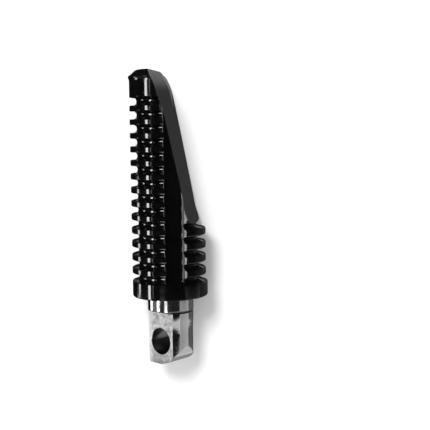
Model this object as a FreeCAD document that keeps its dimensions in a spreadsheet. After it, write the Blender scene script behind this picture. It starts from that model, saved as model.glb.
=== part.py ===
import FreeCAD, Part
import Sketcher
import math
import os

# Foot peg: an anodised, ribbed peg body turned and milled from round bar, on a
# polished steel mount spindle with a flat tongue and a pivot bore.
# Row frame, millimetres: origin at the centre of the pivot bore, +X along the
# peg axis to the tip, +Y to the tread side (away from the long bevel), +Z up.

doc = FreeCAD.newDocument("foot_peg")
V = FreeCAD.Vector

sheet = doc.addObject("Spreadsheet::Sheet", "Sheet")
sheet.Label = "dimensions"
DIMS = [
    ("pivot_to_flange", 19.3, "pivot bore centre to the flange's outer face"),
    ("body_len", 95.3, "peg body, flange face to tip face"),
    ("body_rad", 16.0, "radius of the flange, rib crests and tip section"),
    ("flange_thk", 6.7, "flange thickness"),
    ("flange_edge", 0.45, "chamfer on the flange's outer edge"),
    ("rib_pitch", 5.678, "pitch of the tread ribs"),
    ("groove_wide", 3.34, "width of a tread groove"),
    ("groove_floor", 13.05, "radius of a tread groove's floor"),
    ("groove_corner", 1.55, "corner radius in a tread groove"),
    ("groove_lip", 0.3, "rounding on a rib's crest edge"),
    ("groove_count", 14, "number of tread grooves"),
    ("tread_mid", 21.0, "azimuth of the middle of the tread sector"),
    ("tread_half", 90.0, "half angle of the tread sector, a flute at either end"),
    ("vee_first", 7.75, "flange face to the first vee groove on the underside"),
    ("vee_half", 1.32, "half width of a vee groove at the surface"),
    ("vee_floor", 11.6, "radius at the bottom of a vee groove"),
    ("vee_nose", 0.55, "half width of a vee groove at its bottom"),
    ("vee_crest", 14.75, "radius where a vee groove's flank meets the crest rounding"),
    ("vee_lip", 0.5, "extra half width of the crest rounding"),
    ("vee_count", 5, "number of vee grooves"),
    ("under_rad", 15.35, "radius of the underside's crests"),
    ("under_end", 33.0, "flange face to the end of the turned-down underside"),
    ("tip_lip_rad", 16.45, "radius of the raised lip at the tip"),
    ("tip_lip_start", 90.4, "flange face to the start of the flare"),
    ("tip_lip_end", 92.1, "flange face to the crest of the lip"),
    ("tip_lip_back", 92.6, "flange face to the start of the tip chamfer"),
    ("tip_cham_end", 95.0, "flange face to the end of the tip chamfer"),
    ("tip_cham_rad", 13.6, "radius at the end of the tip chamfer"),
    ("tip_face_rad", 12.3, "radius of the flat tip face"),
    ("bevel_start", 30.1, "flange face to the shoulder of the long bevel"),
    ("bevel_deep", 10.15, "distance of the bevel from the axis at its shoulder"),
    ("bevel_slope", 0.20243, "fall of the bevel along the axis"),
    ("bevel_foot", 11.956, "distance of the bevel's foot from the axis"),
    ("bevel_run", 9.6, "length of the sweep up to the foot"),
    ("bevel_sweep", 30.0, "radius of that sweep"),
    ("bevel_turn", 85.0, "flange face to where the bevel rounds over to the tip"),
    ("bevel_round", 25.0, "radius of the rounding over"),
    ("bevel_over", 13.0, "length of the rounding over, past the tip face"),
    ("bevel_drop", 7.106, "drop of the rounding over in that length"),
    ("flute_half", 4.1, "half width of a flute"),
    ("flute_floor", 10.0, "distance of a flute's floor from the axis"),
    ("flute_start", 4.05, "flange face to the round end of a flute"),
    ("flute_end", 84.0, "flange face to the other round end"),
    ("flute_corner", 1.6, "corner radius along a flute's floor"),
    ("mouth_low", 13.85, "distance from the axis where a flute's mouth chamfer starts"),
    ("bore_rad", 7.05, "radius of the blind bore for the spindle"),
    ("bore_deep", 30.5, "depth of the blind bore"),
    ("seat_rad", 9.2, "radius of the washer seat"),
    ("seat_deep", 1.0, "depth of the washer seat"),
    ("screw_pos", 3.4, "flange face to the set-screw axes"),
    ("screw_hole", 2.05, "radius of a set-screw hole"),
    ("screw_rad", 2.0, "radius of a set screw"),
    ("screw_top", 15.45, "distance of a set screw's outer end from the axis"),
    ("screw_len", 7.0, "length of a set screw"),
    ("screw_cham", 0.4, "chamfer at the ends of a set screw"),
    ("socket_rad", 1.1547, "corner radius of the hexagon socket, 2 mm across flats"),
    ("socket_deep", 2.2, "depth of the hexagon socket"),
    ("screw_ang", 215.0, "azimuth of the first set screw"),
    ("screw_step", 110.0, "angle between the two set screws"),
    ("pad_rad", 1.8, "radius of a brass pad under a set screw"),
    ("pad_top", 8.43, "distance of a pad's outer end from the axis"),
    ("pad_tip", 6.25, "distance of a pad's inner end from the axis"),
    ("spigot_rad", 7.0, "radius of the spindle's spigot"),
    ("spigot_end", 48.8, "pivot to the end of the spigot"),
    ("spigot_cham", 0.8, "chamfer at the end of the spigot"),
    ("bar_rad", 9.75, "radius of the spindle's bar and boss"),
    ("boss_top", 19.18, "pivot to the shoulder that bears on the washer"),
    ("boss_low", 13.15, "pivot to the lower edge of the boss"),
    ("boss_edge", 0.35, "rounding on the boss's edges"),
    ("tail_rad", 9.45, "radius of the bar at the tongue"),
    ("swell_low", 4.0, "pivot to the start of the swell up to the boss"),
    ("swell_mid", 8.25, "pivot to the middle of the swell"),
    ("swell_top", 12.5, "pivot to the top of the swell"),
    ("swell_bend", 60.3, "radius of both bends of the swell"),
    ("nick_deep", 0.35, "depth of the small groove under the boss"),
    ("hold_mid", 22.7, "pivot to the retaining groove"),
    ("hold_half", 2.1, "half width of the retaining groove"),
    ("hold_floor", 6.2, "radius of the retaining groove's floor"),
    ("gland_mid", 29.3, "pivot to the O-ring gland"),
    ("gland_half", 0.95, "half width of the O-ring gland"),
    ("gland_floor", 5.6, "radius of the gland's floor"),
    ("ring_sec", 0.7, "section radius of the O-ring"),
    ("ring_rad", 6.3, "centre radius of the O-ring"),
    ("tongue_half", 6.35, "half thickness of the tongue"),
    ("flat_corner", 1.2, "corner radius where a flat meets the boss"),
    ("heel_len", 9.9, "pivot to the square heel of the nose"),
    ("nose_rad", 9.6, "radius of the round side of the nose, about the pivot"),
    ("pivot_rad", 5.45, "radius of the pivot bore"),
    ("pivot_cham", 0.4, "chamfer on the pivot bore"),
    ("clock_ang", -33.2, "turn of the tongue about the peg axis as clocked"),
    ("washer_in", 7.25, "inner radius of the thrust washer"),
    ("washer_out", 9.1, "outer radius of the thrust washer"),
    ("washer_thk", 1.1, "thickness of the thrust washer"),
]
for i, (alias, value, note) in enumerate(DIMS):
    r = str(i + 1)
    sheet.set("A" + r, alias)
    sheet.set("B" + r, repr(value))
    sheet.set("C" + r, note)
    sheet.setAlias("B" + r, alias)
doc.recompute()
D = {a: float(v) for a, v, n in DIMS}


def S(text):
    """Words in braces are sheet aliases: '{body_len} + 2' for the solver."""
    return text.replace("{", "Sheet.").replace("}", "")


def N(text):
    """The same expression as a number, for a first guess at the geometry."""
    out = text
    for a in sorted(D, key=len, reverse=True):
        out = out.replace("{" + a + "}", "(%r)" % D[a])
    total = doc_value(out)
    return total


def doc_value(text):
    # a small evaluator for sums, differences and products of numbers
    toks, cur = [], ""
    for ch in text.replace(" ", ""):
        cur += ch
    return calc(cur)


def calc(s):
    pos = [0]

    def factor():
        if s[pos[0]] == "-":
            pos[0] += 1
            return -factor()
        if s[pos[0]] == "(":
            pos[0] += 1
            v = total()
            pos[0] += 1
            return v
        j = pos[0]
        while j < len(s) and (s[j].isdigit() or s[j] in ".e"):
            j += 1
        v = float(s[pos[0]:j])
        pos[0] = j
        return v

    def term():
        v = factor()
        while pos[0] < len(s) and s[pos[0]] in "*/":
            op = s[pos[0]]
            pos[0] += 1
            w = factor()
            v = v * w if op == "*" else v / w
        return v

    def total():
        v = term()
        while pos[0] < len(s) and s[pos[0]] in "+-":
            op = s[pos[0]]
            pos[0] += 1
            w = term()
            v = v + w if op == "+" else v - w
        return v

    return total()


def origin_plane(body, role):
    return [f for f in body.Origin.OriginFeatures if f.Role == role][0]


def new_body(label):
    body = doc.addObject("PartDesign::Body", label)
    body.Label = label
    return body


def new_sketch(body, name, role, turn=0.0, axis=(1, 0, 0), lift=0.0):
    sk = body.newObject("Sketcher::SketchObject", name)
    sk.AttachmentSupport = [(origin_plane(body, role), "")]
    sk.MapMode = "FlatFace"
    sk.AttachmentOffset = FreeCAD.Placement(V(0, 0, lift), FreeCAD.Rotation(V(*axis), turn))
    return sk


def profile(sk, pts):
    """Closed profile. pts: (x, y, bend). x, y are expression texts; bend is None
    for a straight side to the next point, or (radius text, +1/-1) for an arc
    that turns left (+1) or right (-1)."""
    n = len(pts)
    P = [V(N(p[0]), N(p[1]), 0) for p in pts]
    for i in range(n):
        a, b, bend = P[i], P[(i + 1) % n], pts[i][2]
        if bend is None:
            sk.addGeometry(Part.LineSegment(a, b), False)
        else:
            rad, side = N(bend[0]), bend[1]
            mid = (a + b) * 0.5
            d = b - a
            half = d.Length / 2.0
            h = math.sqrt(max(rad * rad - half * half, 1e-9))
            nrm = V(-d.y, d.x, 0)
            nrm.normalize()
            c = mid + nrm * (h * side)
            a0 = math.atan2(a.y - c.y, a.x - c.x)
            a1 = math.atan2(b.y - c.y, b.x - c.x)
            circ = Part.Circle(c, V(0, 0, 1), rad)
            if side > 0:
                sk.addGeometry(Part.ArcOfCircle(circ, a0, a1), False)
            else:
                sk.addGeometry(Part.ArcOfCircle(circ, a1, a0), False)
    first = []
    last = []
    for i in range(n):
        bend = pts[i][2]
        if bend is not None and bend[1] < 0:
            first.append(2)
            last.append(1)
        else:
            first.append(1)
            last.append(2)
    for i in range(n):
        j = (i + 1) % n
        sk.addConstraint(Sketcher.Constraint("Coincident", i, last[i], j, first[j]))
    for i in range(n):
        x, y, bend = pts[i]
        if x == "0":
            sk.addConstraint(Sketcher.Constraint("PointOnObject", i, first[i], -2))
        else:
            k = sk.addConstraint(Sketcher.Constraint("DistanceX", -1, 1, i, first[i], N(x)))
            sk.setExpression("Constraints[%d]" % k, S(x))
        if y == "0":
            sk.addConstraint(Sketcher.Constraint("PointOnObject", i, first[i], -1))
        else:
            k = sk.addConstraint(Sketcher.Constraint("DistanceY", -1, 1, i, first[i], N(y)))
            sk.setExpression("Constraints[%d]" % k, S(y))
        if bend is not None:
            k = sk.addConstraint(Sketcher.Constraint("Radius", i, N(bend[0])))
            sk.setExpression("Constraints[%d]" % k, S(bend[0]))


def circle(sk, x, y, rad):
    g = sk.addGeometry(Part.Circle(V(N(x), N(y), 0), V(0, 0, 1), N(rad)), False)
    for kind, ax, val in (("DistanceX", -2, x), ("DistanceY", -1, y)):
        if val == "0":
            sk.addConstraint(Sketcher.Constraint("PointOnObject", g, 3, ax))
        else:
            k = sk.addConstraint(Sketcher.Constraint(kind, -1, 1, g, 3, N(val)))
            sk.setExpression("Constraints[%d]" % k, S(val))
    k = sk.addConstraint(Sketcher.Constraint("Radius", g, N(rad)))
    sk.setExpression("Constraints[%d]" % k, S(rad))


def revolve(body, sk, name, cut=False, angle=None):
    f = body.newObject("PartDesign::Groove" if cut else "PartDesign::Revolution", name)
    f.Profile = sk
    f.ReferenceAxis = (origin_plane(body, "X_Axis"), [""])
    f.Angle = 360.0
    if angle is not None:
        f.Midplane = True
        f.setExpression("Angle", S(angle))
    return f


def pocket(body, sk, name, length=None, both=False, reverse=False):
    f = body.newObject("PartDesign::Pocket", name)
    f.Profile = sk
    if length is None:
        f.Type = 1
    else:
        f.Type = 0
        f.setExpression("Length", S(length))
    f.Midplane = both
    f.Reversed = reverse
    return f


def row_along_x(body, feat, name, count, pitch):
    f = body.newObject("PartDesign::LinearPattern", name)
    f.Originals = [feat]
    f.Direction = (origin_plane(body, "X_Axis"), [""])
    f.Length = 1.0
    f.setExpression("Length", S("(" + count + " - 1) * " + pitch))
    f.setExpression("Occurrences", S(count))
    body.Tip = f
    return f


# ------------------------------------------------------------- peg body blank
blank = new_body("peg_body_blank")
sk = new_sketch(blank, "body_profile", "XY_Plane")
profile(sk, [
    ("0", "0", None),
    ("0", "{body_rad} - {flange_edge}", None),
    ("{flange_edge}", "{body_rad}", None),
    ("{tip_lip_start}", "{body_rad}", ("3.6", 1)),
    ("{tip_lip_end}", "{tip_lip_rad}", None),
    ("{tip_lip_back}", "{tip_lip_rad} - 0.08", None),
    ("{tip_cham_end}", "{tip_cham_rad}", ("1.9", -1)),
    ("{body_len}", "{tip_face_rad}", None),
    ("{body_len}", "0", None),
])
revolve(blank, sk, "body_turned")
doc.recompute()

# tread grooves: a round-bottomed groove repeated along the axis, open over the
# tread sector only
sk = new_sketch(blank, "tread_groove_profile", "XY_Plane", turn=D["tread_mid"])
a = "{flange_thk}"
b = "{flange_thk} + {groove_wide}"
profile(sk, [
    (a + " - {groove_lip}", "{body_rad} + 0.9", None),
    (a + " - {groove_lip}", "{body_rad}", ("{groove_lip}", -1)),
    (a, "{body_rad} - {groove_lip}", None),
    (a, "{groove_floor} + {groove_corner}", ("{groove_corner}", 1)),
    (a + " + {groove_corner}", "{groove_floor}", None),
    (b + " - {groove_corner}", "{groove_floor}", ("{groove_corner}", 1)),
    (b, "{groove_floor} + {groove_corner}", None),
    (b, "{body_rad} - {groove_lip}", ("{groove_lip}", -1)),
    (b + " + {groove_lip}", "{body_rad}", None),
    (b + " + {groove_lip}", "{body_rad} + 0.9", None),
])
sk.setExpression("AttachmentOffset.Rotation.Angle", S("{tread_mid} * 1deg"))
g = revolve(blank, sk, "tread_groove", cut=True, angle="2 * {tread_half}")
doc.recompute()
row_along_x(blank, g, "tread_grooves", "{groove_count}", "{rib_pitch}")
doc.recompute()

# underside, between the two flutes: turned down a little, then cut with vee
# grooves whose crests are rounded
sk = new_sketch(blank, "under_profile", "XY_Plane", turn=180.0 + D["tread_mid"])
profile(sk, [
    ("{flange_thk}", "{under_rad}", None),
    ("{under_end}", "{under_rad}", None),
    ("{under_end}", "{body_rad} + 0.9", None),
    ("{flange_thk}", "{body_rad} + 0.9", None),
])
sk.setExpression("AttachmentOffset.Rotation.Angle", S("(180 + {tread_mid}) * 1deg"))
revolve(blank, sk, "underside_relief", cut=True, angle="360 - 2 * {tread_half}")
doc.recompute()
sk = new_sketch(blank, "vee_profile", "XY_Plane", turn=180.0 + D["tread_mid"])
c = "{vee_first}"
profile(sk, [
    (c + " - {vee_half} - {vee_lip}", "{body_rad} + 0.9", None),
    (c + " - {vee_half} - {vee_lip}", "{under_rad}", ("0.75", -1)),
    (c + " - {vee_half}", "{vee_crest}", None),
    (c + " - {vee_nose}", "{vee_floor}", ("0.7", 1)),
    (c + " + {vee_nose}", "{vee_floor}", None),
    (c + " + {vee_half}", "{vee_crest}", ("0.75", -1)),
    (c + " + {vee_half} + {vee_lip}", "{under_rad}", None),
    (c + " + {vee_half} + {vee_lip}", "{body_rad} + 0.9", None),
])
sk.setExpression("AttachmentOffset.Rotation.Angle", S("(180 + {tread_mid}) * 1deg"))
g = revolve(blank, sk, "vee_groove", cut=True, angle="360 - 2 * {tread_half}")
doc.recompute()
row_along_x(blank, g, "vee_grooves", "{vee_count}", "{rib_pitch}")
doc.recompute()

# long bevel on the underside: it sweeps away from a shoulder near the flange,
# runs straight, and rounds over at the tip
sk = new_sketch(blank, "bevel_profile", "XY_Plane", turn=180.0)
profile(sk, [
    ("{bevel_start}", "{bevel_foot}", ("{bevel_sweep}", 1)),
    ("{bevel_start} + {bevel_run}", "{bevel_deep} - {bevel_slope} * {bevel_run}", None),
    ("{bevel_turn}", "{bevel_deep} - {bevel_slope} * ({bevel_turn} - {bevel_start})", ("{bevel_round}", -1)),
    ("{bevel_turn} + {bevel_over}",
     "{bevel_deep} - {bevel_slope} * ({bevel_turn} - {bevel_start}) - {bevel_drop}", None),
    ("{bevel_turn} + {bevel_over}", "{body_rad} + 4", None),
    ("{bevel_start}", "{body_rad} + 4", None),
])
pocket(blank, sk, "long_bevel", both=True)
doc.recompute()

# blind bore for the spigot and the washer seat at its mouth
sk = new_sketch(blank, "bore_profile", "XY_Plane")
profile(sk, [
    ("0", "0", None),
    ("0", "{seat_rad}", None),
    ("{seat_deep}", "{seat_rad}", None),
    ("{seat_deep}", "{bore_rad}", None),
    ("{bore_deep}", "{bore_rad}", None),
    ("{bore_deep} + 3.2", "0", None),
])
revolve(blank, sk, "blind_bore", cut=True)
doc.recompute()


def place_x(obj, text):
    obj.setExpression("Placement.Base.x", S(text))


# -------------------------------------------------------------- flute cutters
def flute(name, azimuth_text):
    box = doc.addObject("Part::Box", name + "_straight")
    box.setExpression("Length", S("{flute_end} - {flute_start} - 2 * {flute_half}"))
    box.setExpression("Width", S("2 * {flute_half}"))
    box.setExpression("Height", S("12"))
    box.setExpression("Placement.Base.x", S("{flute_start} + {flute_half}"))
    box.setExpression("Placement.Base.y", S("-{flute_half}"))
    box.setExpression("Placement.Base.z", S("{flute_floor}"))
    ends = []
    for part, where, seam in (("_flange_end", "{flute_start} + {flute_half}", 0),
                              ("_tip_end", "{flute_end} - {flute_half}", 180)):
        end = doc.addObject("Part::Cylinder", name + part)
        end.setExpression("Radius", S("{flute_half}"))
        end.setExpression("Height", S("12"))
        end.Placement = FreeCAD.Placement(V(0, 0, 0), FreeCAD.Rotation(V(0, 0, 1), seam))
        end.setExpression("Placement.Base.x", S(where))
        end.setExpression("Placement.Base.z", S("{flute_floor}"))
        ends.append(end)
    both = doc.addObject("Part::MultiFuse", name + "_slot")
    both.Shapes = [box] + ends
    both.Refine = True
    doc.recompute()
    # round the floor's edges as a radiused end mill leaves them
    low = []
    for i, e in enumerate(both.Shape.Edges):
        bb = e.BoundBox
        if abs(bb.ZMax - D["flute_floor"]) < 1e-6 and bb.XMax - bb.XMin > 1.0:
            low.append((i + 1, D["flute_corner"], D["flute_corner"]))
    fil = doc.addObject("Part::Fillet", name + "_milled")
    fil.Base = both
    fil.Edges = low
    doc.recompute()
    # local Z lies at azimuth 90 from +Y
    fil.Placement = FreeCAD.Placement(V(0, 0, 0), FreeCAD.Rotation(V(1, 0, 0), 0))
    fil.setExpression("Placement.Rotation.Axis.x", "1")
    fil.setExpression("Placement.Rotation.Axis.y", "0")
    fil.setExpression("Placement.Rotation.Axis.z", "0")
    fil.setExpression("Placement.Rotation.Angle", S("(" + azimuth_text + ") * 1deg"))
    doc.recompute()
    return fil


# the underside edge of each flute's mouth is chamfered at 45 degrees
def mouth(name, azimuth_text, side):
    box = doc.addObject("Part::Box", name)
    box.setExpression("Length", S("{flute_end} - {flute_half} - {flange_thk}"))
    box.Width = 6.0
    box.Height = 6.0
    # the chamfer's plane passes through the flute's wall at mouth_low; the box
    # starts 5 mm (upper flute) or 1 mm (lower flute) along it from there
    if side < 0:
        py, pz, tip = "(-{flute_half} - 3.535534)", "({mouth_low} + 3.535534)", "-45"
    else:
        py, pz, tip = "({flute_half} - 0.707107)", "({mouth_low} - 0.707107)", "45"
    az = "((" + azimuth_text + ") * 1deg)"
    box.Placement = FreeCAD.Placement(V(0, 0, 0), FreeCAD.Rotation(V(1, 0, 0), 10))
    box.setExpression("Placement.Rotation.Axis.x", "1")
    box.setExpression("Placement.Rotation.Axis.y", "0")
    box.setExpression("Placement.Rotation.Axis.z", "0")
    box.setExpression("Placement.Rotation.Angle", S("(" + azimuth_text + " + " + tip + ") * 1deg"))
    box.setExpression("Placement.Base.x", S("{flange_thk}"))
    box.setExpression("Placement.Base.y", S(py + " * cos" + az + " - " + pz + " * sin" + az))
    box.setExpression("Placement.Base.z", S(py + " * sin" + az + " + " + pz + " * cos" + az))
    doc.recompute()
    return box


mouth_up = mouth("upper_mouth", "{tread_mid} + {tread_half} - 90", -1)
mouth_low = mouth("lower_mouth", "{tread_mid} - {tread_half} - 90", 1)
flute_up = flute("upper_flute", "{tread_mid} + {tread_half} - 90")
flute_low = flute("lower_flute", "{tread_mid} - {tread_half} - 90")


# ----------------------------------------------------------- set-screw holes
def hole(name, k):
    h = doc.addObject("Part::Cylinder", name)
    h.setExpression("Radius", S("{screw_hole}"))
    h.setExpression("Height", S("{body_rad} + 2 - 4"))
    # from inside the bore to outside the rim, along azimuth screw_ang
    ang = "({screw_ang} + %d * {screw_step})" % k
    h.Placement = FreeCAD.Placement(V(0, 0, 0), FreeCAD.Rotation(V(1, 0, 0), 10))
    h.setExpression("Placement.Rotation.Axis.x", "1")
    h.setExpression("Placement.Rotation.Axis.y", "0")
    h.setExpression("Placement.Rotation.Axis.z", "0")
    h.setExpression("Placement.Rotation.Angle", S("(" + ang + " - 90) * 1deg"))
    h.setExpression("Placement.Base.x", S("{screw_pos}"))
    h.setExpression("Placement.Base.y", S("4 * cos(" + ang + " * 1deg)"))
    h.setExpression("Placement.Base.z", S("4 * sin(" + ang + " * 1deg)"))
    return h


hole_a = hole("screw_hole_a", 0)
hole_b = hole("screw_hole_b", 1)
doc.recompute()

cutters = doc.addObject("Part::MultiFuse", "body_cutters")
cutters.Shapes = [flute_up, flute_low, mouth_up, mouth_low, hole_a, hole_b]
peg = doc.addObject("Part::Cut", "peg_body")
peg.Label = "peg_body"
peg.Base = blank
peg.Tool = cutters
place_x(peg, "{pivot_to_flange}")
doc.recompute()

# ------------------------------------------------------------- mount spindle
sp = new_body("mount_spindle")
sk = new_sketch(sp, "spindle_profile", "XY_Plane")
profile(sk, [
    ("-{heel_len}", "0", None),
    ("-{heel_len}", "{tail_rad} - 0.3", None),
    ("0.3 - {heel_len}", "{tail_rad}", None),
    ("{swell_low}", "{tail_rad}", ("{swell_bend}", 1)),
    ("{swell_mid}", "0.5 * ({tail_rad} + {bar_rad})", ("{swell_bend}", -1)),
    ("{swell_top}", "{bar_rad}", None),
    ("0.5 * ({swell_top} + {boss_low})", "{bar_rad} - {nick_deep}", None),
    ("{boss_low}", "{bar_rad} - {boss_edge}", ("{boss_edge}", -1)),
    ("{boss_low} + {boss_edge}", "{bar_rad}", None),
    ("{boss_top} - {boss_edge}", "{bar_rad}", ("{boss_edge}", -1)),
    ("{boss_top}", "{bar_rad} - {boss_edge}", None),
    ("{boss_top}", "{spigot_rad}", None),
    ("{hold_mid} - {hold_half}", "{spigot_rad}", None),
    ("{hold_mid} - {hold_half}", "{hold_floor}", None),
    ("{hold_mid} + {hold_half}", "{hold_floor}", None),
    ("{hold_mid} + {hold_half}", "{spigot_rad}", None),
    ("{gland_mid} - {gland_half}", "{spigot_rad}", None),
    ("{gland_mid} - {gland_half}", "{gland_floor}", None),
    ("{gland_mid} + {gland_half}", "{gland_floor}", None),
    ("{gland_mid} + {gland_half}", "{spigot_rad}", None),
    ("{spigot_end} - {spigot_cham}", "{spigot_rad}", None),
    ("{spigot_end}", "{spigot_rad} - {spigot_cham}", None),
    ("{spigot_end}", "0", None),
])
revolve(sp, sk, "spindle_turned")
doc.recompute()

# the two flats of the tongue; their normal is the body's own Z
for nm, t in (("upper_flat", 90.0), ("lower_flat", -90.0)):
    sk = new_sketch(sp, nm + "_profile", "XY_Plane", turn=t)
    profile(sk, [
        ("-{heel_len} - 3", "{tongue_half}", None),
        ("{boss_low} - {flat_corner}", "{tongue_half}", ("{flat_corner}", 1)),
        ("{boss_low}", "{tongue_half} + {flat_corner}", None),
        ("{boss_low}", "{bar_rad} + 3", None),
        ("-{heel_len} - 3", "{bar_rad} + 3", None),
    ])
    pocket(sp, sk, nm, both=True)
    doc.recompute()

# round side of the nose, concentric with the pivot, at the body's -Y side
sk = new_sketch(sp, "nose_profile", "XY_Plane", turn=180.0)
profile(sk, [
    ("-{heel_len} - 3", "0.6", None),
    ("-{heel_len}", "0.6", None),
    ("-{nose_rad}", "0.8", ("{nose_rad} + 0.033", -1)),
    ("-0.8", "{nose_rad}", None),
    ("-0.8", "{nose_rad} + 4", None),
    ("-{heel_len} - 3", "{nose_rad} + 4", None),
])
pocket(sp, sk, "nose_round", both=True)
doc.recompute()

sk = new_sketch(sp, "pivot_circle", "XY_Plane")
circle(sk, "0", "0", "{pivot_rad}")
pocket(sp, sk, "pivot_bore", both=True)
doc.recompute()
edges = []
for i, e in enumerate(sp.Shape.Edges):
    if e.Curve.TypeId == "Part::GeomCircle" and abs(e.Curve.Radius - D["pivot_rad"]) < 1e-6:
        if abs(abs(e.BoundBox.Center.z) - D["tongue_half"]) < 1e-3:
            edges.append("Edge%d" % (i + 1))
ch = sp.newObject("PartDesign::Chamfer", "pivot_bore_chamfer")
ch.Base = (sp.Tip if sp.Tip.Name != ch.Name else doc.getObject("pivot_bore"), edges)
ch.setExpression("Size", S("{pivot_cham}"))
doc.recompute()
sp.Placement = FreeCAD.Placement(V(0, 0, 0), FreeCAD.Rotation(V(1, 0, 0), 5))
sp.setExpression("Placement.Rotation.Angle", S("{clock_ang} * 1deg"))

# -------------------------------------------------------------- thrust washer
wa = new_body("thrust_washer")
sk = new_sketch(wa, "washer_profile", "XY_Plane")
w0 = "{pivot_to_flange} + {seat_deep} - {washer_thk}"
w1 = "{pivot_to_flange} + {seat_deep}"
profile(sk, [
    (w0, "{washer_in}", None),
    (w1, "{washer_in}", None),
    (w1, "{washer_out} - 0.1", None),
    (w1 + " - 0.1", "{washer_out}", None),
    (w0 + " + 0.1", "{washer_out}", None),
    (w0, "{washer_out} - 0.1", None),
])
revolve(wa, sk, "washer_turned")
doc.recompute()

# --------------------------------------------------------------------- O-ring
ring = doc.addObject("Part::Torus", "o_ring")
ring.Label = "o_ring"
ring.setExpression("Radius1", S("{ring_rad}"))
ring.setExpression("Radius2", S("{ring_sec}"))
ring.Placement = FreeCAD.Placement(V(0, 0, 0), FreeCAD.Rotation(V(0, 1, 0), 90))
place_x(ring, "{gland_mid}")
doc.recompute()

# ------------------------------------------------- set screws and brass pads
screw = new_body("set_screw_single")
sk = new_sketch(screw, "set_screw_profile", "XZ_Plane")
s0 = "{screw_top} - {screw_len}"
profile(sk, [
    ("0", s0, None),
    ("{screw_rad} - {screw_cham}", s0, None),
    ("{screw_rad}", s0 + " + {screw_cham}", None),
    ("{screw_rad}", "{screw_top} - {screw_cham}", None),
    ("{screw_rad} - {screw_cham}", "{screw_top}", None),
    ("0", "{screw_top}", None),
])
f = screw.newObject("PartDesign::Revolution", "set_screw_turned")
f.Profile = sk
f.ReferenceAxis = (origin_plane(screw, "Z_Axis"), [""])
f.Angle = 360.0
doc.recompute()
sk = new_sketch(screw, "socket_profile", "XY_Plane")
sk.setExpression("AttachmentOffset.Base.z", S("{screw_top}"))
hx = []
for k in range(6):
    cx, cy = math.cos(math.radians(60 * k)), math.sin(math.radians(60 * k))
    hx.append(("{socket_rad} * %.9f" % cx if abs(cx) > 1e-9 else "0",
               "{socket_rad} * %.9f" % cy if abs(cy) > 1e-9 else "0", None))
profile(sk, hx)
pocket(screw, sk, "hex_socket", length="{socket_deep}")
doc.recompute()

pad = doc.addObject("Part::Cylinder", "pad_single")
pad.setExpression("Radius", S("{pad_rad}"))
pad.setExpression("Height", S("{pad_top} - {pad_tip}"))
pad.setExpression("Placement.Base.z", S("{pad_tip}"))
doc.recompute()


def pair(label, source):
    """Two equal pieces at the set-screw azimuths, as one node."""
    links = []
    for k in (0, 1):
        ln = doc.addObject("Part::Feature", "%s_%d" % (label, k + 1))
        ln.Shape = source.Shape.copy()
        ang = sheet.screw_ang + k * sheet.screw_step - 90.0
        turn = FreeCAD.Rotation(V(1, 0, 0), ang)
        at = V(sheet.pivot_to_flange + sheet.screw_pos, 0, 0)
        ln.Placement = FreeCAD.Placement(at, turn).multiply(source.Placement)
        links.append(ln)
    comp = doc.addObject("Part::Compound", label)
    comp.Label = label
    comp.Links = links
    return comp


screws = pair("set_screws", screw)
pads = pair("screw_pads", pad)
doc.recompute()

NODES = [peg, sp, wa, ring, screws, pads]
for o in doc.Objects:
    bad = [s for s in o.State if s in ("Invalid", "Error")]
    if bad:
        raise RuntimeError("%s is %s" % (o.Label, bad))
for o in NODES:
    if o.Shape.isNull() or not o.Shape.isValid():
        raise RuntimeError("%s has no valid shape" % o.Label)

os.makedirs("parts", exist_ok=True)
for o in NODES:
    o.Shape.exportStep("parts/%s.step" % o.Label)
    bb = o.Shape.BoundBox
    print("%s solids %d volume %.1f box %.2f %.2f %.2f to %.2f %.2f %.2f" % (
        o.Label, len(o.Shape.Solids), o.Shape.Volume,
        bb.XMin, bb.YMin, bb.ZMin, bb.XMax, bb.YMax, bb.ZMax))
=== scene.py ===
import math

import bpy
from mathutils import Matrix, Vector

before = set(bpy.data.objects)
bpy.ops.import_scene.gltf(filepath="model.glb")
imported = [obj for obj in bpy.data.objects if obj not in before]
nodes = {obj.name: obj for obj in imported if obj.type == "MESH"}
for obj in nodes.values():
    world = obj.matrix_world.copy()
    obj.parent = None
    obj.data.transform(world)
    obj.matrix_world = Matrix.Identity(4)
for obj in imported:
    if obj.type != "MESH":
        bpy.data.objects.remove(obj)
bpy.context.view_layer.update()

# ------------------------------------------------------------------ constants
FLANGE_X = 0.0193           # outer face of the flange
BODY_R = 0.016
TIP_X = 0.1146
BAR_R = 0.00975
TONGUE_HALF = 0.00635
CLOCK = math.radians(-33.2)  # turn of the tongue about the peg's axis


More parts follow.
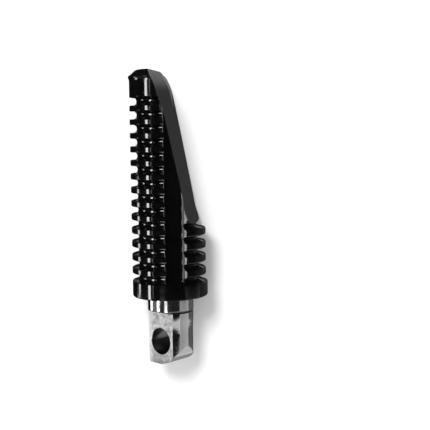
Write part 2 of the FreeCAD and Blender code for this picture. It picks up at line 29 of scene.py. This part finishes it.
# -------------------------------------------------------------- node helpers
class Tree:
    """A small helper for building a material out of nodes."""

    def __init__(self, name):
        self.mat = bpy.data.materials.new(name)
        self.mat.use_nodes = True
        self.nt = self.mat.node_tree
        self.nt.nodes.clear()
        self.out = self.nt.nodes.new("ShaderNodeOutputMaterial")
        self.bsdf = self.nt.nodes.new("ShaderNodeBsdfPrincipled")
        self.nt.links.new(self.bsdf.outputs["BSDF"], self.out.inputs["Surface"])
        self.coord = self.nt.nodes.new("ShaderNodeTexCoord")
        self.x = 0

    def put(self, socket, value):
        if isinstance(value, bpy.types.NodeSocket):
            self.nt.links.new(value, socket)
        else:
            socket.default_value = value

    def node(self, kind, **props):
        n = self.nt.nodes.new(kind)
        for k, v in props.items():
            setattr(n, k, v)
        return n

    def math(self, op, a, b=0.0, c=0.0, clamp=False):
        n = self.node("ShaderNodeMath", operation=op, use_clamp=clamp)
        self.put(n.inputs[0], a)
        self.put(n.inputs[1], b)
        if len(n.inputs) > 2:
            self.put(n.inputs[2], c)
        return n.outputs[0]

    def obj(self, rot=(0, 0, 0), scale=(1, 1, 1)):
        m = self.node("ShaderNodeMapping")
        m.vector_type = "POINT"
        self.put(m.inputs["Vector"], self.coord.outputs["Object"])
        m.inputs["Rotation"].default_value = rot
        m.inputs["Scale"].default_value = scale
        return m.outputs["Vector"]

    def split(self, vec):
        s = self.node("ShaderNodeSeparateXYZ")
        self.put(s.inputs[0], vec)
        return s.outputs

    def join(self, x, y, z):
        c = self.node("ShaderNodeCombineXYZ")
        self.put(c.inputs[0], x)
        self.put(c.inputs[1], y)
        self.put(c.inputs[2], z)
        return c.outputs[0]

    def noise(self, vec, scale, detail=3.0, rough=0.5):
        n = self.node("ShaderNodeTexNoise")
        self.put(n.inputs["Vector"], vec)
        n.inputs["Scale"].default_value = scale
        n.inputs["Detail"].default_value = detail
        n.inputs["Roughness"].default_value = rough
        return n.outputs["Fac"]

    def remap(self, v, a, b, c, d, smooth=True):
        n = self.node("ShaderNodeMapRange")
        n.interpolation_type = "SMOOTHSTEP" if smooth else "LINEAR"
        self.put(n.inputs["Value"], v)
        n.inputs["From Min"].default_value = a
        n.inputs["From Max"].default_value = b
        n.inputs["To Min"].default_value = c
        n.inputs["To Max"].default_value = d
        return n.outputs["Result"]

    def mixc(self, fac, a, b):
        n = self.node("ShaderNodeMix", data_type="RGBA")
        self.put(n.inputs["Factor"], fac)
        for s in n.inputs:
            if s.type == "RGBA" and s.name == "A":
                self.put(s, a)
            if s.type == "RGBA" and s.name == "B":
                self.put(s, b)
        return [o for o in n.outputs if o.type == "RGBA"][0]

    def bump(self, height, strength, distance, normal=None):
        b = self.node("ShaderNodeBump")
        self.put(b.inputs["Height"], height)
        b.inputs["Strength"].default_value = strength
        b.inputs["Distance"].default_value = distance
        if normal is not None:
            self.put(b.inputs["Normal"], normal)
        return b.outputs["Normal"]

    def soft_edge(self, radius):
        """The small broken edges that deburring leaves."""
        n = self.node("ShaderNodeBevel", samples=6)
        n.inputs["Radius"].default_value = radius
        return n.outputs["Normal"]

    def polar(self, vec):
        """Cylinder coordinates about X: (x, radius, angle-ish)."""
        s = self.split(vec)
        r2 = self.math("ADD", self.math("MULTIPLY", s[1], s[1]), self.math("MULTIPLY", s[2], s[2]))
        r = self.math("SQRT", r2)
        ang = self.math("ARCTAN2", s[2], s[1])
        return s[0], r, ang


def grey(v, a=1.0):
    return (v, v, v, a)


def assign(obj, mat):
    obj.data.materials.clear()
    obj.data.materials.append(mat)
    for p in obj.data.polygons:
        p.material_index = 0


# ------------------------------------------------------------------ materials
# Gloss black anodised aluminium: dyed film over turned and milled metal.
t = Tree("black_anodised")
vec = t.obj()
x, rad, ang = t.polar(vec)
# turning lines run around the axis: noise that varies along x and radius only
lines = t.noise(t.join(t.math("MULTIPLY", x, 6.0), t.math("MULTIPLY", rad, 6.0), 0.0), 900.0, 2.0, 0.6)
fine = t.noise(vec, 2600.0, 3.0, 0.55)
cloud = t.noise(vec, 120.0, 3.0, 0.5)
# the long bevel is milled, so its film is a little more matt than the turned skin; its lighter base colour is a
# painted reflection of the pale table beside it
s = t.split(vec)
mm = t.math("MULTIPLY", t.math("SUBTRACT", s[0], FLANGE_X), 1000.0)
straight = t.math("SUBTRACT", 10.15, t.math("MULTIPLY", t.math("SUBTRACT", mm, 30.1), 0.20243))


def arc_height(centre_x, centre_y, radius, side):
    d = t.math("SUBTRACT", mm, centre_x)
    under = t.math("MAXIMUM", t.math("SUBTRACT", radius * radius, t.math("MULTIPLY", d, d)), 0.0)
    return t.math("ADD", centre_y, t.math("MULTIPLY", t.math("SQRT", under), side))


foot = t.math("MULTIPLY", t.math("LESS_THAN", mm, 39.7), t.math("SUBTRACT", arc_height(45.652, 37.610, 30.0, -1.0), straight))
over = t.math("MULTIPLY", t.math("GREATER_THAN", mm, 85.0), t.math("SUBTRACT", arc_height(80.04, -25.466, 25.0, 1.0), straight))
skin = t.math("ADD", straight, t.math("ADD", foot, over))
near = t.math("ABSOLUTE", t.math("ADD", t.math("MULTIPLY", s[1], 1000.0), skin))
face = t.math("MULTIPLY", t.remap(near, 0.10, 0.22, 1.0, 0.0),
              t.remap(s[0], 0.0492, 0.0500, 0.0, 1.0))
mill = t.noise(t.join(t.math("MULTIPLY", s[0], 1.0), t.math("MULTIPLY", s[2], 0.02), 0.0), 2200.0, 2.0, 0.5)
base = t.mixc(cloud, (0.0012, 0.0012, 0.0014, 1.0), (0.0026, 0.0026, 0.0029, 1.0))
# painted reflection: the bevel face gets a lighter base colour
base = t.mixc(face, base, (0.0076, 0.0076, 0.0082, 1.0))
# the side walls of the two milled flutes, whose lighter grey base colour is painted light standing in for the light
# they catch
fa = math.radians(111.0)
along = t.math("ADD", t.math("MULTIPLY", s[1], math.cos(fa)), t.math("MULTIPLY", s[2], math.sin(fa)))
across = t.math("SUBTRACT", t.math("MULTIPLY", s[2], math.cos(fa)), t.math("MULTIPLY", s[1], math.sin(fa)))
wall = t.math("MULTIPLY", t.remap(t.math("ABSOLUTE", across), 0.00416, 0.00424, 1.0, 0.0),
              t.remap(t.math("ABSOLUTE", along), 0.0104, 0.0108, 0.0, 1.0))
wall = t.math("MULTIPLY", wall, t.remap(t.math("ABSOLUTE", along), 0.0141, 0.0145, 1.0, 0.0))
wall = t.math("MULTIPLY", wall, t.remap(s[0], 0.0258, 0.0278, 0.0, 1.0))
# painted highlight: the flute walls get a light grey base colour
base = t.mixc(wall, base, (0.14, 0.14, 0.143, 1.0))
t.put(t.bsdf.inputs["Base Color"], base)
rough = t.math("ADD", t.remap(lines, 0.3, 0.7, 0.06, 0.11), t.remap(cloud, 0.35, 0.65, -0.01, 0.02))
rough = t.math("ADD", rough, t.math("MULTIPLY", t.math("MAXIMUM", face, wall), t.remap(mill, 0.3, 0.7, 0.05, 0.10)))
t.put(t.bsdf.inputs["Roughness"], rough)
t.bsdf.inputs["Metallic"].default_value = 0.0
t.bsdf.inputs["IOR"].default_value = 1.55
h = t.math("ADD", t.math("MULTIPLY", lines, 0.7), t.math("MULTIPLY", fine, 0.3))
h = t.math("ADD", t.math("MULTIPLY", h, t.math("SUBTRACT", 1.0, face)), t.math("MULTIPLY", mill, face))
t.put(t.bsdf.inputs["Normal"], t.bump(h, 0.06, 0.00004, t.soft_edge(0.00010)))
black = t.mat

# Polished steel of the spindle, with its two milled, matt tongue flats.
t = Tree("polished_and_milled_steel")
raw = t.obj()
s = t.split(raw)
cc, ss = math.cos(CLOCK), math.sin(CLOCK)
# coordinates turned with the tongue: its own Z is the flats' normal
ly = t.math("ADD", t.math("MULTIPLY", s[1], cc), t.math("MULTIPLY", s[2], ss))
lz = t.math("SUBTRACT", t.math("MULTIPLY", s[2], cc), t.math("MULTIPLY", s[1], ss))
own = t.join(s[0], ly, lz)
x, rad, ang = t.polar(raw)
on_flat = t.math("MULTIPLY",
                 t.remap(t.math("ABSOLUTE", t.math("SUBTRACT", t.math("ABSOLUTE", lz), TONGUE_HALF)), 0.00008, 0.00016, 1.0, 0.0),
                 t.remap(x, 0.0127, 0.0130, 1.0, 0.0))
in_bore = t.remap(t.math("SQRT", t.math("ADD", t.math("MULTIPLY", x, x), t.math("MULTIPLY", ly, ly))),
                  0.00552, 0.00562, 1.0, 0.0)
turned = t.noise(t.join(t.math("MULTIPLY", x, 5.0), t.math("MULTIPLY", rad, 5.0), 0.0), 900.0, 2.0, 0.55)
blotch = t.noise(own, 560.0, 5.0, 0.68)
grain = t.noise(t.join(t.math("MULTIPLY", s[0], 0.35), ly, 0.0), 2600.0, 2.0, 0.6)
scratch = t.noise(own, 1500.0, 3.0, 0.6)
flat_col = t.mixc(t.remap(blotch, 0.32, 0.70, 0.0, 1.0), (0.33, 0.33, 0.326, 1.0), (0.78, 0.78, 0.773, 1.0))
# painted shade: the flats are darkened towards the tongue's end
flat_col = t.mixc(t.remap(x, -0.0094, -0.0066, 0.55, 0.0), flat_col, (0.10, 0.10, 0.10, 1.0))
# painted highlight: the flats are lightened towards their edge at high ly
flat_col = t.mixc(t.remap(ly, 0.0034, 0.0072, 0.0, 0.70), flat_col, (0.95, 0.95, 0.945, 1.0))
skin_col = t.mixc(turned, (0.70, 0.70, 0.71, 1.0), (0.78, 0.78, 0.78, 1.0))
# painted shade: the pivot bore's inside gets a dark base colour for the shade in the hole
bore_shade_col = t.mixc(scratch, (0.15, 0.15, 0.15, 1.0), (0.25, 0.25, 0.25, 1.0))
col = t.mixc(on_flat, skin_col, flat_col)
col = t.mixc(in_bore, col, bore_shade_col)
# painted shade: the small groove under the boss is given a dark base colour for the shade in it
groove_shade = t.math("MULTIPLY", t.remap(x, 0.0123, 0.0126, 0.0, 1.0), t.remap(x, 0.0133, 0.0137, 1.0, 0.0))
col = t.mixc(t.math("MULTIPLY", groove_shade, 0.85), col, (0.09, 0.09, 0.088, 1.0))
t.put(t.bsdf.inputs["Base Color"], col)
t.bsdf.inputs["Metallic"].default_value = 1.0
r = t.math("MULTIPLY", t.remap(turned, 0.3, 0.7, 0.08, 0.12), t.remap(x, 0.0125, 0.0130, 0.5, 1.0))
r = t.math("ADD", r, t.math("MULTIPLY", on_flat, t.remap(blotch, 0.3, 0.7, 0.50, 0.36)))
r = t.math("ADD", r, t.math("MULTIPLY", in_bore, 0.16))
t.put(t.bsdf.inputs["Roughness"], r)
h = t.math("ADD", t.math("MULTIPLY", turned, t.math("SUBTRACT", 1.0, on_flat)),
           t.math("MULTIPLY", t.math("ADD", t.math("MULTIPLY", grain, 1.2), t.math("MULTIPLY", blotch, 2.2)), on_flat))
t.put(t.bsdf.inputs["Normal"], t.bump(h, 0.12, 0.00005, t.soft_edge(0.00030)))
steel = t.mat


def simple(name, lo, hi, metallic, r_lo, r_hi, scale, turned_marks=True):
    t = Tree(name)
    vec = t.obj()
    x, rad, ang = t.polar(vec)
    n1 = t.noise(vec, scale, 4.0, 0.6)
    n2 = t.noise(t.join(x, rad, 0.0), 5200.0, 2.0, 0.5) if turned_marks else t.noise(vec, scale * 5, 2.0, 0.5)
    t.put(t.bsdf.inputs["Base Color"], t.mixc(n1, lo, hi))
    t.bsdf.inputs["Metallic"].default_value = metallic
    t.put(t.bsdf.inputs["Roughness"], t.remap(n2, 0.3, 0.7, r_lo, r_hi))
    t.put(t.bsdf.inputs["Normal"], t.bump(t.math("ADD", n1, n2), 0.2, 0.00003))
    return t.mat


oxide = simple("black_oxide_steel", (0.016, 0.016, 0.018, 1), (0.035, 0.035, 0.038, 1), 0.9, 0.28, 0.42, 900.0)
bronze = simple("bearing_bronze", (0.42, 0.25, 0.10, 1), (0.55, 0.35, 0.15, 1), 1.0, 0.25, 0.38, 700.0)
rubber = simple("seal_rubber", (0.010, 0.010, 0.010, 1), (0.022, 0.022, 0.022, 1), 0.0, 0.55, 0.75, 1500.0, False)
brass = simple("pad_brass", (0.50, 0.34, 0.11, 1), (0.62, 0.45, 0.18, 1), 1.0, 0.25, 0.40, 900.0)

assign(nodes["peg_body"], black)
assign(nodes["mount_spindle"], steel)
assign(nodes["set_screws"], oxide)
assign(nodes["thrust_washer"], bronze)
assign(nodes["o_ring"], rubber)
assign(nodes["screw_pads"], brass)


# ---------------------------------------------------------- camera and frame
# view frame, solved for the peg lying on its side seen from above
ROLL = math.radians(13.64)


def turned_x(v, a):
    c, s_ = math.cos(a), math.sin(a)
    return Vector((v[0], v[1] * c - v[2] * s_, v[1] * s_ + v[2] * c))


up = turned_x((0.995103, -0.018138, -0.097163), ROLL).normalized()
back = turned_x((0.098230, 0.072258, 0.992537), ROLL).normalized()
right = up.cross(back).normalized()
back = right.cross(up).normalized()
eye = turned_x((0.071331, 0.008272, 0.381470), ROLL) + Vector((FLANGE_X, 0, 0)) + up * 0.0003
cam_data = bpy.data.cameras.new("camera")
cam_data.sensor_fit = "HORIZONTAL"
cam_data.sensor_width = 36.0
cam_data.lens = 36.0 * 900.0 / 430.0
cam_data.clip_start = 0.01
cam_data.clip_end = 20.0
cam_data.dof.use_dof = False
cam = bpy.data.objects.new("camera", cam_data)
bpy.context.scene.collection.objects.link(cam)
rot = Matrix((right, up, back)).transposed()
cam.matrix_world = Matrix.Translation(eye) @ rot.to_4x4()
bpy.context.scene.camera = cam

# ---------------------------------------------------------------------- floor
FLOOR_Z = -BODY_R
bpy.ops.mesh.primitive_plane_add(size=6.0, location=(0.05, 0.0, FLOOR_Z - 0.0002))
floor = bpy.context.object
floor.name = "floor"
t = Tree("floor_white")
n = t.noise(t.obj(), 3.0, 2.0, 0.5)
t.put(t.bsdf.inputs["Base Color"], t.mixc(n, grey(0.86), grey(0.90)))
t.bsdf.inputs["Roughness"].default_value = 0.9
t.bsdf.inputs["Specular IOR Level"].default_value = 0.0
floor.data.materials.append(t.mat)
floor.visible_glossy = False
floor.visible_shadow = False

# --------------------------------------------------------------------- lights
VIEW = math.radians(102.4)     # azimuth of the view about the peg's axis


def card(name, deg, wide_deg, x0, x1, radiance, dist=0.6, glossy=True, diffuse=True):
    """A soft light parallel to the peg's axis and facing it. deg is its place
    about the axis from the view direction (minus is the left of the picture),
    x0 and x1 its ends along the axis, radiance its brightness."""
    a = VIEW + math.radians(deg)
    d = Vector((0.0, math.cos(a), math.sin(a)))
    length = x1 - x0
    width = 2.0 * dist * math.tan(math.radians(wide_deg) / 2.0)
    data = bpy.data.lights.new(name, "AREA")
    data.shape = "RECTANGLE"
    data.size = length
    data.size_y = width
    data.energy = radiance * math.pi * length * width
    ob = bpy.data.objects.new(name, data)
    bpy.context.scene.collection.objects.link(ob)
    loc = Vector(((x0 + x1) / 2.0, 0, 0)) + d * dist
    xax = Vector((1, 0, 0))
    yax = d.cross(xax).normalized()
    m = Matrix((xax, yax, d)).transposed()
    ob.matrix_world = Matrix.Translation(loc) @ m.to_4x4()
    ob.visible_camera = False
    ob.visible_glossy = glossy
    ob.visible_diffuse = diffuse
    return ob


LOW = -0.099                   # only the spindle's end mirrors what lies beyond this
card("strip_left", -66.3, 7.7, -0.135, 0.160, 14.5, diffuse=False)
card("strip_left_thin", -53.8, 1.6, -0.092, 0.180, 3.2, diffuse=False)
card("strip_low_left", -106.0, 8.6, -0.090, 0.034, 7.0, diffuse=False)
card("end_strip_left", -114.0, 11.0, -0.125, -0.092, 4.0, diffuse=False)
card("end_strip_high", -24.5, 13.0, -0.16, LOW - 0.004, 2.2, diffuse=False)
card("end_strip_far", -26.0, 16.0, -0.60, -0.16, 13.0, diffuse=False)
card("end_card_left", -89.0, 30.0, -0.90, -0.092, 0.16, diffuse=False)
card("end_card_right", 73.0, 54.0, -0.90, -0.094, 0.36, diffuse=False)
card("end_card_front", 12.0, 70.0, -0.90, -0.176, 0.62, diffuse=False)
card("end_card_rim", 120.0, 40.0, -0.90, -0.160, 0.34, diffuse=False)


def key(name, left, ahead, dist, size, power):
    """The soft key light, left of the view and ahead towards the tip, in degrees."""
    a = VIEW - math.radians(left)
    d = Vector((math.sin(math.radians(ahead)), math.cos(math.radians(ahead)) * math.cos(a),
                math.cos(math.radians(ahead)) * math.sin(a))).normalized()
    data = bpy.data.lights.new(name, "AREA")
    data.shape = "DISK"
    data.size = size
    data.energy = power
    ob = bpy.data.objects.new(name, data)
    bpy.context.scene.collection.objects.link(ob)
    ob.matrix_world = Matrix.Translation(Vector((0.05, 0, 0)) + d * dist) @ d.to_track_quat("Z", "Y").to_matrix().to_4x4()
    ob.visible_camera = False
    ob.visible_glossy = False
    return ob


key("key", 20.0, 31.0, 1.5, 0.52, 16.6)

world = bpy.data.worlds.new("studio")
world.use_nodes = True
wt = world.node_tree
wt.nodes.clear()
wo = wt.nodes.new("ShaderNodeOutputWorld")
soft = wt.nodes.new("ShaderNodeBackground")
soft.inputs["Color"].default_value = (1, 1, 1, 1)
soft.inputs["Strength"].default_value = 0.82
dim = wt.nodes.new("ShaderNodeBackground")
dim.inputs["Color"].default_value = (1, 1, 1, 1)
# what polished pieces mirror: a dark room, a little lighter low on the right,
# with the pale table towards the spindle's end and under the tip
tc = wt.nodes.new("ShaderNodeTexCoord")


def lobe(direction, lo, hi, peak, base=0.0):
    dot = wt.nodes.new("ShaderNodeVectorMath")
    dot.operation = "DOT_PRODUCT"
    dot.inputs[1].default_value = Vector(direction).normalized()
    wt.links.new(tc.outputs["Generated"], dot.inputs[0])
    ramp = wt.nodes.new("ShaderNodeMapRange")
    ramp.interpolation_type = "SMOOTHSTEP"
    ramp.inputs["From Min"].default_value = lo
    ramp.inputs["From Max"].default_value = hi
    ramp.inputs["To Min"].default_value = base
    ramp.inputs["To Max"].default_value = peak
    wt.links.new(dot.outputs["Value"], ramp.inputs["Value"])
    return ramp.outputs["Result"]


def total(a, b, op="ADD"):
    m = wt.nodes.new("ShaderNodeMath")
    m.operation = op
    wt.links.new(a, m.inputs[0])
    wt.links.new(b, m.inputs[1])
    return m.outputs[0]


ra = VIEW + math.radians(125.0)
la = VIEW + math.radians(88.0)
room = lobe((0.0, math.cos(ra), math.sin(ra)), 0.70, 0.95, 0.108, 0.008)
table = lobe((-0.80, 0.6 * math.cos(la), 0.6 * math.sin(la)), 0.70, 0.93, 0.22)
tip_side = total(lobe((1, 0, 0), 0.14, 0.24, 0.33), lobe((0, 0, -1), 0.70, 0.92, 1.0), "MULTIPLY")
tip_side = total(tip_side, lobe((-1, 0, 0), -0.34, -0.28, 1.0), "MULTIPLY")
beyond = lobe((-0.65, -0.72 * math.cos(VIEW) + 0.20 * math.cos(la), -0.72 * math.sin(VIEW) + 0.20 * math.sin(la)),
              0.88, 0.96, 0.27)
wt.links.new(total(total(total(room, table), tip_side), beyond), dim.inputs["Strength"])
lp = wt.nodes.new("ShaderNodeLightPath")
mix = wt.nodes.new("ShaderNodeMixShader")
wt.links.new(lp.outputs["Is Glossy Ray"], mix.inputs[0])
wt.links.new(soft.outputs[0], mix.inputs[1])
wt.links.new(dim.outputs[0], mix.inputs[2])
wt.links.new(mix.outputs[0], wo.inputs["Surface"])
bpy.context.scene.world = world

bpy.context.scene.view_settings.view_transform = "Standard"
